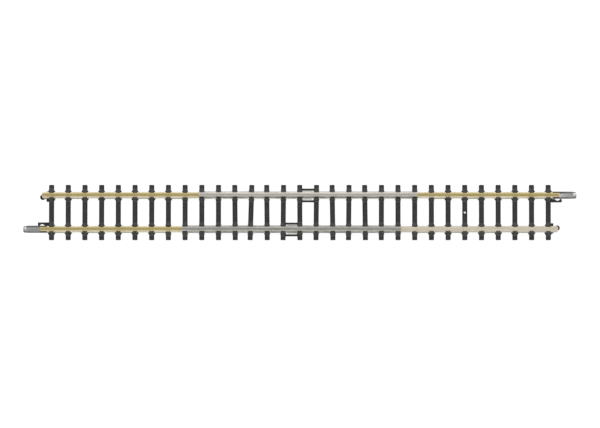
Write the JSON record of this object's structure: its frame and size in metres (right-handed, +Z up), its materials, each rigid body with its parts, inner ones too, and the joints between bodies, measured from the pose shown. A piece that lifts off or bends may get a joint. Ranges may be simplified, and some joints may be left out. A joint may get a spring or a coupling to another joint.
{
  "type": "adjustable model track section",
  "caption": "Straight model railway track that telescopes: brass rails slide in silver sleeves on a zigzag-linked grid of dark sleepers, with joiners and locking arms at the ends.",
  "frame": {"origin": "middle of the underside of the middle sleeper, which is the middle of the track's base", "axes": "+X along the track, +Y across it towards the far rail, +Z up"},
  "size_m": [0.1164, 0.0116, 0.0027],
  "materials": {
    "sleeper_plastic": "matt moulded",
    "rail_brass": "drawn, slightly dull",
    "sleeve_silver": "drawn sheet, satin",
    "joiner_steel": "pressed sheet, bright"
  },
  "bodies": {
    "centre": {"sleeve_far": "sleeve_silver", "sleeve_near": "sleeve_silver", "sleeper_16": "sleeper_plastic"},
    "left_end": {"rail_left_far": "rail_brass", "rail_left_near": "rail_brass", "joiner_left": "joiner_steel", "sleeper_01": "sleeper_plastic"},
    "right_end": {"rail_right_far": "rail_brass", "rail_right_near": "rail_brass", "joiner_right": "joiner_steel", "sleeper_31": "sleeper_plastic"},
    "sleeper_15": {"sleeper_15": "sleeper_plastic"},
    "sleeper_14": {"sleeper_14": "sleeper_plastic"},
    "sleeper_13": {"sleeper_13": "sleeper_plastic"},
    "sleeper_12": {"sleeper_12": "sleeper_plastic"},
    "sleeper_11": {"sleeper_11": "sleeper_plastic"},
    "sleeper_10": {"sleeper_10": "sleeper_plastic"},
    "sleeper_09": {"sleeper_09": "sleeper_plastic"},
    "sleeper_08": {"sleeper_08": "sleeper_plastic"},
    "sleeper_07": {"sleeper_07": "sleeper_plastic"},
    "sleeper_06": {"sleeper_06": "sleeper_plastic"},
    "sleeper_05": {"sleeper_05": "sleeper_plastic"},
    "sleeper_04": {"sleeper_04": "sleeper_plastic"},
    "sleeper_03": {"sleeper_03": "sleeper_plastic"},
    "sleeper_02": {"sleeper_02": "sleeper_plastic"},
    "sleeper_17": {"sleeper_17": "sleeper_plastic"},
    "sleeper_18": {"sleeper_18": "sleeper_plastic"},
    "sleeper_19": {"sleeper_19": "sleeper_plastic"},
    "sleeper_20": {"sleeper_20": "sleeper_plastic"},
    "sleeper_21": {"sleeper_21": "sleeper_plastic"},
    "sleeper_22": {"sleeper_22": "sleeper_plastic"},
    "sleeper_23": {"sleeper_23": "sleeper_plastic"},
    "sleeper_24": {"sleeper_24": "sleeper_plastic"},
    "sleeper_25": {"sleeper_25": "sleeper_plastic"},
    "sleeper_26": {"sleeper_26": "sleeper_plastic"},
    "sleeper_27": {"sleeper_27": "sleeper_plastic"},
    "sleeper_28": {"sleeper_28": "sleeper_plastic"},
    "sleeper_29": {"sleeper_29": "sleeper_plastic"},
    "sleeper_30": {"sleeper_30": "sleeper_plastic"}
  },
  "joints": [
    {"name": "left_end_slide", "type": "slide", "parent": "centre", "child": "left_end", "axis": [-1, 0, 0], "range_m": [-0.00455, 0.00545]},
    {"name": "sleeper_15_slide", "type": "slide", "parent": "centre", "child": "sleeper_15", "axis": [-1, 0, 0], "range_m": [-0.0003037, 0.000364]},
    {"name": "sleeper_14_slide", "type": "slide", "parent": "sleeper_15", "child": "sleeper_14", "axis": [-1, 0, 0], "range_m": [-0.0003037, 0.000364]},
    {"name": "sleeper_13_slide", "type": "slide", "parent": "sleeper_14", "child": "sleeper_13", "axis": [-1, 0, 0], "range_m": [-0.0003037, 0.000364]},
    {"name": "sleeper_12_slide", "type": "slide", "parent": "sleeper_13", "child": "sleeper_12", "axis": [-1, 0, 0], "range_m": [-0.0003037, 0.000364]},
    {"name": "sleeper_11_slide", "type": "slide", "parent": "sleeper_12", "child": "sleeper_11", "axis": [-1, 0, 0], "range_m": [-0.0003037, 0.000364]},
    {"name": "sleeper_10_slide", "type": "slide", "parent": "sleeper_11", "child": "sleeper_10", "axis": [-1, 0, 0], "range_m": [-0.0003037, 0.000364]},
    {"name": "sleeper_09_slide", "type": "slide", "parent": "sleeper_10", "child": "sleeper_09", "axis": [-1, 0, 0], "range_m": [-0.0003037, 0.000364]},
    {"name": "sleeper_08_slide", "type": "slide", "parent": "sleeper_09", "child": "sleeper_08", "axis": [-1, 0, 0], "range_m": [-0.0003037, 0.000364]},
    {"name": "sleeper_07_slide", "type": "slide", "parent": "sleeper_08", "child": "sleeper_07", "axis": [-1, 0, 0], "range_m": [-0.0003037, 0.000364]},
    {"name": "sleeper_06_slide", "type": "slide", "parent": "sleeper_07", "child": "sleeper_06", "axis": [-1, 0, 0], "range_m": [-0.0003037, 0.000364]},
    {"name": "sleeper_05_slide", "type": "slide", "parent": "sleeper_06", "child": "sleeper_05", "axis": [-1, 0, 0], "range_m": [-0.0003037, 0.000364]},
    {"name": "sleeper_04_slide", "type": "slide", "parent": "sleeper_05", "child": "sleeper_04", "axis": [-1, 0, 0], "range_m": [-0.0003037, 0.000364]},
    {"name": "sleeper_03_slide", "type": "slide", "parent": "sleeper_04", "child": "sleeper_03", "axis": [-1, 0, 0], "range_m": [-0.0003037, 0.000364]},
    {"name": "sleeper_02_slide", "type": "slide", "parent": "sleeper_03", "child": "sleeper_02", "axis": [-1, 0, 0], "range_m": [-0.0003037, 0.000364]},
    {"name": "right_end_slide", "type": "slide", "parent": "centre", "child": "right_end", "axis": [1, 0, 0], "range_m": [-0.00459, 0.00541]},
    {"name": "sleeper_17_slide", "type": "slide", "parent": "centre", "child": "sleeper_17", "axis": [1, 0, 0], "range_m": [-0.0003062, 0.0003615]},
    {"name": "sleeper_18_slide", "type": "slide", "parent": "sleeper_17", "child": "sleeper_18", "axis": [1, 0, 0], "range_m": [-0.0003062, 0.0003615]},
    {"name": "sleeper_19_slide", "type": "slide", "parent": "sleeper_18", "child": "sleeper_19", "axis": [1, 0, 0], "range_m": [-0.0003062, 0.0003615]},
    {"name": "sleeper_20_slide", "type": "slide", "parent": "sleeper_19", "child": "sleeper_20", "axis": [1, 0, 0], "range_m": [-0.0003062, 0.0003615]},
    {"name": "sleeper_21_slide", "type": "slide", "parent": "sleeper_20", "child": "sleeper_21", "axis": [1, 0, 0], "range_m": [-0.0003062, 0.0003615]},
    {"name": "sleeper_22_slide", "type": "slide", "parent": "sleeper_21", "child": "sleeper_22", "axis": [1, 0, 0], "range_m": [-0.0003062, 0.0003615]},
    {"name": "sleeper_23_slide", "type": "slide", "parent": "sleeper_22", "child": "sleeper_23", "axis": [1, 0, 0], "range_m": [-0.0003062, 0.0003615]},
    {"name": "sleeper_24_slide", "type": "slide", "parent": "sleeper_23", "child": "sleeper_24", "axis": [1, 0, 0], "range_m": [-0.0003062, 0.0003615]},
    {"name": "sleeper_25_slide", "type": "slide", "parent": "sleeper_24", "child": "sleeper_25", "axis": [1, 0, 0], "range_m": [-0.0003062, 0.0003615]},
    {"name": "sleeper_26_slide", "type": "slide", "parent": "sleeper_25", "child": "sleeper_26", "axis": [1, 0, 0], "range_m": [-0.0003062, 0.0003615]},
    {"name": "sleeper_27_slide", "type": "slide", "parent": "sleeper_26", "child": "sleeper_27", "axis": [1, 0, 0], "range_m": [-0.0003062, 0.0003615]},
    {"name": "sleeper_28_slide", "type": "slide", "parent": "sleeper_27", "child": "sleeper_28", "axis": [1, 0, 0], "range_m": [-0.0003062, 0.0003615]},
    {"name": "sleeper_29_slide", "type": "slide", "parent": "sleeper_28", "child": "sleeper_29", "axis": [1, 0, 0], "range_m": [-0.0003062, 0.0003615]},
    {"name": "sleeper_30_slide", "type": "slide", "parent": "sleeper_29", "child": "sleeper_30", "axis": [1, 0, 0], "range_m": [-0.0003062, 0.0003615]}
  ],
  "couplings": [
    {"joint": "sleeper_15_slide", "follows": "left_end_slide", "ratio": 0.066667},
    {"joint": "sleeper_14_slide", "follows": "left_end_slide", "ratio": 0.066667},
    {"joint": "sleeper_13_slide", "follows": "left_end_slide", "ratio": 0.066667},
    {"joint": "sleeper_12_slide", "follows": "left_end_slide", "ratio": 0.066667},
    {"joint": "sleeper_11_slide", "follows": "left_end_slide", "ratio": 0.066667},
    {"joint": "sleeper_10_slide", "follows": "left_end_slide", "ratio": 0.066667},
    {"joint": "sleeper_09_slide", "follows": "left_end_slide", "ratio": 0.066667},
    {"joint": "sleeper_08_slide", "follows": "left_end_slide", "ratio": 0.066667},
    {"joint": "sleeper_07_slide", "follows": "left_end_slide", "ratio": 0.066667},
    {"joint": "sleeper_06_slide", "follows": "left_end_slide", "ratio": 0.066667},
    {"joint": "sleeper_05_slide", "follows": "left_end_slide", "ratio": 0.066667},
    {"joint": "sleeper_04_slide", "follows": "left_end_slide", "ratio": 0.066667},
    {"joint": "sleeper_03_slide", "follows": "left_end_slide", "ratio": 0.066667},
    {"joint": "sleeper_02_slide", "follows": "left_end_slide", "ratio": 0.066667},
    {"joint": "sleeper_17_slide", "follows": "right_end_slide", "ratio": 0.066667},
    {"joint": "sleeper_18_slide", "follows": "right_end_slide", "ratio": 0.066667},
    {"joint": "sleeper_19_slide", "follows": "right_end_slide", "ratio": 0.066667},
    {"joint": "sleeper_20_slide", "follows": "right_end_slide", "ratio": 0.066667},
    {"joint": "sleeper_21_slide", "follows": "right_end_slide", "ratio": 0.066667},
    {"joint": "sleeper_22_slide", "follows": "right_end_slide", "ratio": 0.066667},
    {"joint": "sleeper_23_slide", "follows": "right_end_slide", "ratio": 0.066667},
    {"joint": "sleeper_24_slide", "follows": "right_end_slide", "ratio": 0.066667},
    {"joint": "sleeper_25_slide", "follows": "right_end_slide", "ratio": 0.066667},
    {"joint": "sleeper_26_slide", "follows": "right_end_slide", "ratio": 0.066667},
    {"joint": "sleeper_27_slide", "follows": "right_end_slide", "ratio": 0.066667},
    {"joint": "sleeper_28_slide", "follows": "right_end_slide", "ratio": 0.066667},
    {"joint": "sleeper_29_slide", "follows": "right_end_slide", "ratio": 0.066667},
    {"joint": "sleeper_30_slide", "follows": "right_end_slide", "ratio": 0.066667}
  ]
}
